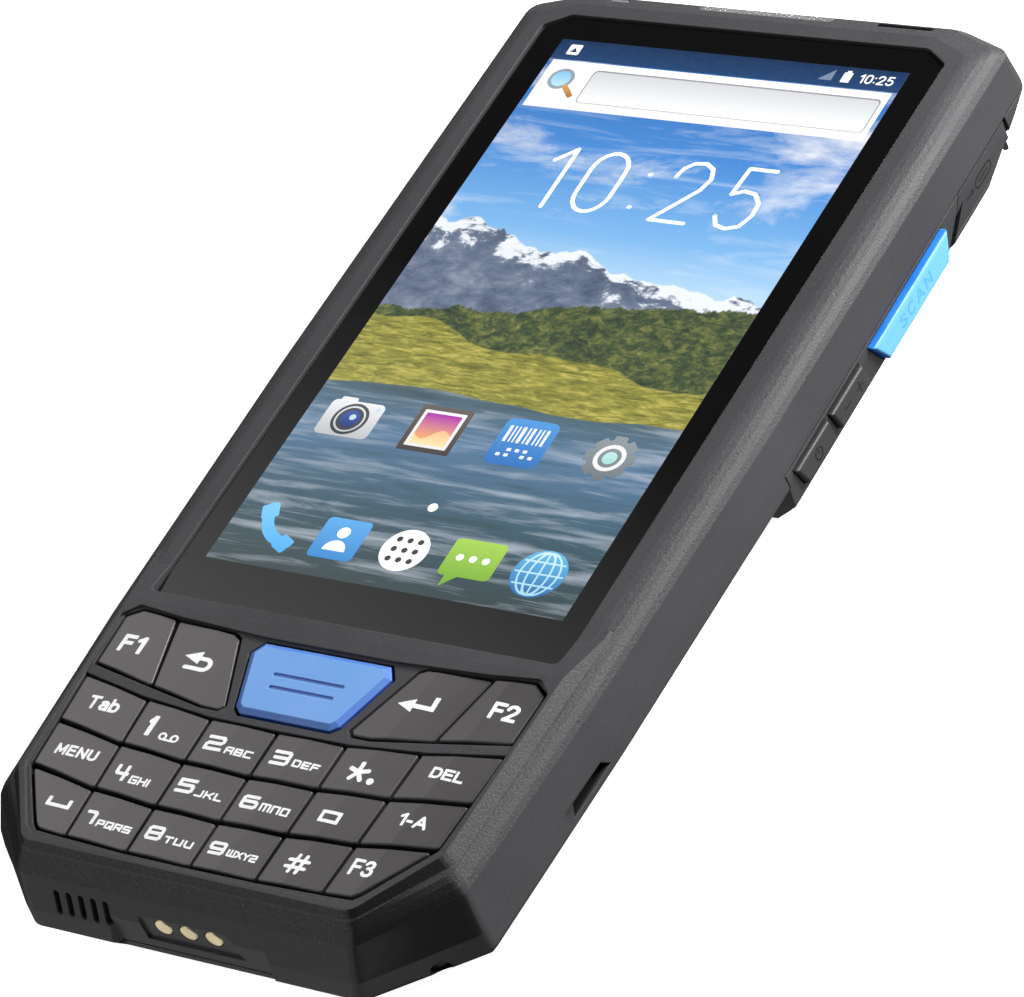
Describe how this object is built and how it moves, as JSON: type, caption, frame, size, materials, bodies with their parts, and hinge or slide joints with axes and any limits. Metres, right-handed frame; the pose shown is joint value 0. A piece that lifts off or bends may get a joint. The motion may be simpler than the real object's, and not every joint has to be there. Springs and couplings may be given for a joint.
{
  "type": "portable barcode data terminal",
  "caption": "Slim hand-held data terminal with touch screen, keypad, blue scan keys on front and sides, hinged port cover and charging contacts",
  "frame": {"origin": "middle of the underside's bounding box, on the flat back that the terminal lies on", "axes": "+Z out of the screen, +Y along the length towards the earpiece and scanner, +X to the right as the user reads the screen"},
  "size_m": [0.0808, 0.1642, 0.0176],
  "materials": {
    "housing_plastic": "fine textured",
    "key_plastic": "satin",
    "blue_plastic": "satin",
    "black_plastic": "satin",
    "seal_rubber": "matte",
    "cover_rubber": "matte",
    "glass": "polished",
    "display": "lit screen",
    "steel": "bright",
    "grille_steel": "fine mesh",
    "aluminium": "cast",
    "circuit_board": "solder resist",
    "light_pipe": "frosted",
    "scan_glass": "tinted",
    "dark_glass": "polished",
    "gold": "gold plated",
    "battery_wrap": "film wrap"
  },
  "bodies": {
    "housing": {"backlight": "steel", "battery_cover": "housing_plastic", "battery_cover_screws": "steel", "battery_pack": "battery_wrap", "camera_module": "black_plastic", "camera_window": "dark_glass", "charge_contacts": "gold", "contact_block": "black_plastic", "cover_glass": "glass", "display_panel": "display", "dome_switches": "steel", "earpiece_grille": "grille_steel", "earpiece_receiver": "black_plastic", "flash_lens": "light_pipe", "frame_screws": "steel", "front_housing": "housing_plastic", "housing_screws": "steel", "housing_seal": "seal_rubber", "keypad_board": "circuit_board", "keypad_mat": "seal_rubber", "lamp_light_pipe": "light_pipe", "loudspeaker": "black_plastic", "main_board": "circuit_board", "mid_frame": "aluminium", "port_cover_pin": "steel", "rear_housing": "housing_plastic", "scan_bezel": "black_plastic", "scan_engine": "black_plastic", "scan_window": "scan_glass", "sensor_window": "black_plastic", "side_switches": "circuit_board", "usb_socket": "steel"},
    "key_f1": {"key_f1": "key_plastic"},
    "key_back": {"key_back": "key_plastic"},
    "key_scan": {"key_scan": "blue_plastic"},
    "key_enter": {"key_enter": "key_plastic"},
    "key_f2": {"key_f2": "key_plastic"},
    "key_tab": {"key_tab": "key_plastic"},
    "key_1": {"key_1": "key_plastic"},
    "key_2": {"key_2": "key_plastic"},
    "key_3": {"key_3": "key_plastic"},
    "key_star": {"key_star": "key_plastic"},
    "key_del": {"key_del": "key_plastic"},
    "key_menu": {"key_menu": "key_plastic"},
    "key_4": {"key_4": "key_plastic"},
    "key_5": {"key_5": "key_plastic"},
    "key_6": {"key_6": "key_plastic"},
    "key_0": {"key_0": "key_plastic"},
    "key_alpha": {"key_alpha": "key_plastic"},
    "key_space": {"key_space": "key_plastic"},
    "key_7": {"key_7": "key_plastic"},
    "key_8": {"key_8": "key_plastic"},
    "key_9": {"key_9": "key_plastic"},
    "key_hash": {"key_hash": "key_plastic"},
    "key_f3": {"key_f3": "key_plastic"},
    "side_trigger_right": {"side_trigger_right": "blue_plastic"},
    "side_trigger_left": {"side_trigger_left": "blue_plastic"},
    "volume_button": {"volume_button": "black_plastic"},
    "power_button": {"power_button": "black_plastic"},
    "port_cover": {"port_cover": "cover_rubber"}
  },
  "joints": [
    {"name": "key_f1_press", "type": "slide", "parent": "housing", "child": "key_f1", "axis": [0, 0, -1], "range_m": [0, 0.00045], "stiffness_N_per_m": 500, "springref_m": -0.0004},
    {"name": "key_back_press", "type": "slide", "parent": "housing", "child": "key_back", "axis": [0, 0, -1], "range_m": [0, 0.00045], "stiffness_N_per_m": 500, "springref_m": -0.0004},
    {"name": "key_scan_press", "type": "slide", "parent": "housing", "child": "key_scan", "axis": [0, 0, -1], "range_m": [0, 0.00045], "stiffness_N_per_m": 500, "springref_m": -0.0004},
    {"name": "key_enter_press", "type": "slide", "parent": "housing", "child": "key_enter", "axis": [0, 0, -1], "range_m": [0, 0.00045], "stiffness_N_per_m": 500, "springref_m": -0.0004},
    {"name": "key_f2_press", "type": "slide", "parent": "housing", "child": "key_f2", "axis": [0, 0, -1], "range_m": [0, 0.00045], "stiffness_N_per_m": 500, "springref_m": -0.0004},
    {"name": "key_tab_press", "type": "slide", "parent": "housing", "child": "key_tab", "axis": [0, 0, -1], "range_m": [0, 0.00045], "stiffness_N_per_m": 500, "springref_m": -0.0004},
    {"name": "key_1_press", "type": "slide", "parent": "housing", "child": "key_1", "axis": [0, 0, -1], "range_m": [0, 0.00045], "stiffness_N_per_m": 500, "springref_m": -0.0004},
    {"name": "key_2_press", "type": "slide", "parent": "housing", "child": "key_2", "axis": [0, 0, -1], "range_m": [0, 0.00045], "stiffness_N_per_m": 500, "springref_m": -0.0004},
    {"name": "key_3_press", "type": "slide", "parent": "housing", "child": "key_3", "axis": [0, 0, -1], "range_m": [0, 0.00045], "stiffness_N_per_m": 500, "springref_m": -0.0004},
    {"name": "key_star_press", "type": "slide", "parent": "housing", "child": "key_star", "axis": [0, 0, -1], "range_m": [0, 0.00045], "stiffness_N_per_m": 500, "springref_m": -0.0004},
    {"name": "key_del_press", "type": "slide", "parent": "housing", "child": "key_del", "axis": [0, 0, -1], "range_m": [0, 0.00045], "stiffness_N_per_m": 500, "springref_m": -0.0004},
    {"name": "key_menu_press", "type": "slide", "parent": "housing", "child": "key_menu", "axis": [0, 0, -1], "range_m": [0, 0.00045], "stiffness_N_per_m": 500, "springref_m": -0.0004},
    {"name": "key_4_press", "type": "slide", "parent": "housing", "child": "key_4", "axis": [0, 0, -1], "range_m": [0, 0.00045], "stiffness_N_per_m": 500, "springref_m": -0.0004},
    {"name": "key_5_press", "type": "slide", "parent": "housing", "child": "key_5", "axis": [0, 0, -1], "range_m": [0, 0.00045], "stiffness_N_per_m": 500, "springref_m": -0.0004},
    {"name": "key_6_press", "type": "slide", "parent": "housing", "child": "key_6", "axis": [0, 0, -1], "range_m": [0, 0.00045], "stiffness_N_per_m": 500, "springref_m": -0.0004},
    {"name": "key_0_press", "type": "slide", "parent": "housing", "child": "key_0", "axis": [0, 0, -1], "range_m": [0, 0.00045], "stiffness_N_per_m": 500, "springref_m": -0.0004},
    {"name": "key_alpha_press", "type": "slide", "parent": "housing", "child": "key_alpha", "axis": [0, 0, -1], "range_m": [0, 0.00045], "stiffness_N_per_m": 500, "springref_m": -0.0004},
    {"name": "key_space_press", "type": "slide", "parent": "housing", "child": "key_space", "axis": [0, 0, -1], "range_m": [0, 0.00045], "stiffness_N_per_m": 500, "springref_m": -0.0004},
    {"name": "key_7_press", "type": "slide", "parent": "housing", "child": "key_7", "axis": [0, 0, -1], "range_m": [0, 0.00045], "stiffness_N_per_m": 500, "springref_m": -0.0004},
    {"name": "key_8_press", "type": "slide", "parent": "housing", "child": "key_8", "axis": [0, 0, -1], "range_m": [0, 0.00045], "stiffness_N_per_m": 500, "springref_m": -0.0004},
    {"name": "key_9_press", "type": "slide", "parent": "housing", "child": "key_9", "axis": [0, 0, -1], "range_m": [0, 0.00045], "stiffness_N_per_m": 500, "springref_m": -0.0004},
    {"name": "key_hash_press", "type": "slide", "parent": "housing", "child": "key_hash", "axis": [0, 0, -1], "range_m": [0, 0.00045], "stiffness_N_per_m": 500, "springref_m": -0.0004},
    {"name": "key_f3_press", "type": "slide", "parent": "housing", "child": "key_f3", "axis": [0, 0, -1], "range_m": [0, 0.00045], "stiffness_N_per_m": 500, "springref_m": -0.0004},
    {"name": "side_trigger_right_press", "type": "slide", "parent": "housing", "child": "side_trigger_right", "axis": [-1, 0, 0], "range_m": [0, 0.0005], "stiffness_N_per_m": 500, "springref_m": -0.0004},
    {"name": "side_trigger_left_press", "type": "slide", "parent": "housing", "child": "side_trigger_left", "axis": [1, 0, 0], "range_m": [0, 0.0005], "stiffness_N_per_m": 500, "springref_m": -0.0004},
    {"name": "volume_button_press", "type": "slide", "parent": "housing", "child": "volume_button", "axis": [-1, 0, 0], "range_m": [0, 0.0005], "stiffness_N_per_m": 500, "springref_m": -0.0004},
    {"name": "power_button_press", "type": "slide", "parent": "housing", "child": "power_button", "axis": [-1, 0, 0], "range_m": [0, 0.0005], "stiffness_N_per_m": 500, "springref_m": -0.0004},
    {"name": "port_cover_hinge", "type": "hinge", "parent": "housing", "child": "port_cover", "pos_m": [0.03835, 0.071, 0.007], "axis": [0, 0, 1], "range_deg": [0, 90]}
  ]
}
